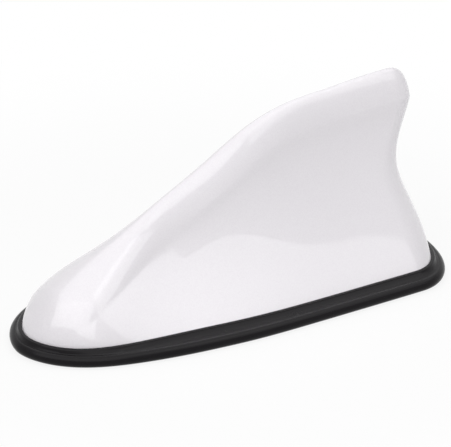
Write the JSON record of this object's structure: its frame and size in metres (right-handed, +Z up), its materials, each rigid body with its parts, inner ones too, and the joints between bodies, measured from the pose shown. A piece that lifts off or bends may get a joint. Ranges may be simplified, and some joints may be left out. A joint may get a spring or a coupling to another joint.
{
  "type": "shark fin roof aerial",
  "caption": "Stick-on shark fin roof aerial for a car: pearl white moulded shell on a black rubber gasket, with base plate, amplifier board and coil inside.",
  "frame": {"origin": "middle of the footprint, on the plane of the roof", "axes": "+X from the nose to the tail, +Y to one side, +Z up from the roof"},
  "size_m": [0.1678, 0.0786, 0.0701],
  "materials": {
    "pearl_paint": "pearl white lacquer on moulded ABS",
    "seal_rubber": "satin moulded EPDM",
    "black_plastic": "lightly grained moulding",
    "foam_tape": "closed-cell foam",
    "plated_steel": "bright zinc plate",
    "board_laminate": "green solder mask",
    "can_sleeve": "shrink sleeve",
    "ferrite": "sintered ferrite",
    "copper_wire": "drawn wire",
    "chip_ceramic": "fired ceramic",
    "natural_nylon": "natural moulded nylon"
  },
  "bodies": {
    "root": {"fin_shell": "pearl_paint", "base_gasket": "seal_rubber", "base_plate": "black_plastic", "adhesive_pad": "foam_tape", "base_screw_1": "plated_steel", "base_screw_2": "plated_steel", "base_screw_3": "plated_steel", "amplifier_board": "board_laminate", "board_screw_1": "plated_steel", "board_screw_2": "plated_steel", "board_screw_3": "plated_steel", "amplifier_chip": "black_plastic", "electrolytic_capacitor": "can_sleeve", "choke_core": "ferrite", "choke_winding": "copper_wire", "smd_capacitors": "chip_ceramic", "smd_resistors": "black_plastic", "lead_header": "natural_nylon", "header_pins": "copper_wire", "coil_former": "natural_nylon", "aerial_coil": "copper_wire", "coil_ferrule": "copper_wire", "foam_cap": "foam_tape", "lead_gland": "seal_rubber"}
  },
  "joints": []
}
